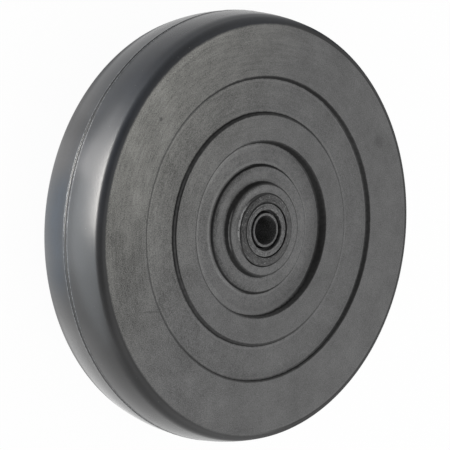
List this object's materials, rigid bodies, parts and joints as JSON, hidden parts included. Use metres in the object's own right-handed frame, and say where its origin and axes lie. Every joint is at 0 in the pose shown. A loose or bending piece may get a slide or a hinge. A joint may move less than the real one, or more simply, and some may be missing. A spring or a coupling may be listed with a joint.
{
  "type": "caster wheel",
  "caption": "Solid grey rubber caster wheel with a stepped web, a raised hub on a steel tube, and a roller bearing round a steel axle sleeve.",
  "frame": {"origin": "middle of the wheel, on its axle and halfway between its faces", "axes": "+Z along the axle, out of the face that shows; the wheel lies on its other side"},
  "size_m": [0.127, 0.127, 0.0288],
  "materials": {
    "rubber": "matte grey moulded rubber",
    "hub_steel": "dull dark steel",
    "washer_steel": "dull zinc",
    "cage_plastic": "black nylon",
    "sleeve_steel": "plain steel tube",
    "roller_steel": "ground steel"
  },
  "bodies": {
    "axle": {"axle_sleeve": "sleeve_steel"},
    "wheel": {"rubber_wheel": "rubber", "hub_tube": "hub_steel", "front_retaining_washer": "washer_steel", "rear_retaining_washer": "washer_steel"},
    "cage": {"roller_cage": "cage_plastic"},
    "roller_01": {"roller_01": "roller_steel"},
    "roller_02": {"roller_02": "roller_steel"},
    "roller_03": {"roller_03": "roller_steel"},
    "roller_04": {"roller_04": "roller_steel"},
    "roller_05": {"roller_05": "roller_steel"},
    "roller_06": {"roller_06": "roller_steel"},
    "roller_07": {"roller_07": "roller_steel"},
    "roller_08": {"roller_08": "roller_steel"},
    "roller_09": {"roller_09": "roller_steel"},
    "roller_10": {"roller_10": "roller_steel"}
  },
  "joints": [
    {"name": "wheel_spin", "type": "hinge", "parent": "axle", "child": "wheel", "pos_m": [0, 0, 0], "axis": [0, 0, 1], "continuous": true},
    {"name": "cage_spin", "type": "hinge", "parent": "axle", "child": "cage", "pos_m": [0, 0, 0], "axis": [0, 0, 1], "continuous": true},
    {"name": "roller_01_spin", "type": "hinge", "parent": "cage", "child": "roller_01", "pos_m": [0.0065, 0, 0], "axis": [0, 0, 1], "continuous": true},
    {"name": "roller_02_spin", "type": "hinge", "parent": "cage", "child": "roller_02", "pos_m": [0.00526, 0.00382, 0], "axis": [0, 0, 1], "continuous": true},
    {"name": "roller_03_spin", "type": "hinge", "parent": "cage", "child": "roller_03", "pos_m": [0.00201, 0.00618, 0], "axis": [0, 0, 1], "continuous": true},
    {"name": "roller_04_spin", "type": "hinge", "parent": "cage", "child": "roller_04", "pos_m": [-0.00201, 0.00618, 0], "axis": [0, 0, 1], "continuous": true},
    {"name": "roller_05_spin", "type": "hinge", "parent": "cage", "child": "roller_05", "pos_m": [-0.00526, 0.00382, 0], "axis": [0, 0, 1], "continuous": true},
    {"name": "roller_06_spin", "type": "hinge", "parent": "cage", "child": "roller_06", "pos_m": [-0.0065, 0, 0], "axis": [0, 0, 1], "continuous": true},
    {"name": "roller_07_spin", "type": "hinge", "parent": "cage", "child": "roller_07", "pos_m": [-0.00526, -0.00382, 0], "axis": [0, 0, 1], "continuous": true},
    {"name": "roller_08_spin", "type": "hinge", "parent": "cage", "child": "roller_08", "pos_m": [-0.00201, -0.00618, 0], "axis": [0, 0, 1], "continuous": true},
    {"name": "roller_09_spin", "type": "hinge", "parent": "cage", "child": "roller_09", "pos_m": [0.00201, -0.00618, 0], "axis": [0, 0, 1], "continuous": true},
    {"name": "roller_10_spin", "type": "hinge", "parent": "cage", "child": "roller_10", "pos_m": [0.00526, -0.00382, 0], "axis": [0, 0, 1], "continuous": true}
  ],
  "couplings": [
    {"joint": "cage_spin", "follows": "wheel_spin", "ratio": 0.61538},
    {"joint": "roller_01_spin", "follows": "wheel_spin", "ratio": 2.122},
    {"joint": "roller_02_spin", "follows": "wheel_spin", "ratio": 2.122},
    {"joint": "roller_03_spin", "follows": "wheel_spin", "ratio": 2.122},
    {"joint": "roller_04_spin", "follows": "wheel_spin", "ratio": 2.122},
    {"joint": "roller_05_spin", "follows": "wheel_spin", "ratio": 2.122},
    {"joint": "roller_06_spin", "follows": "wheel_spin", "ratio": 2.122},
    {"joint": "roller_07_spin", "follows": "wheel_spin", "ratio": 2.122},
    {"joint": "roller_08_spin", "follows": "wheel_spin", "ratio": 2.122},
    {"joint": "roller_09_spin", "follows": "wheel_spin", "ratio": 2.122},
    {"joint": "roller_10_spin", "follows": "wheel_spin", "ratio": 2.122}
  ]
}
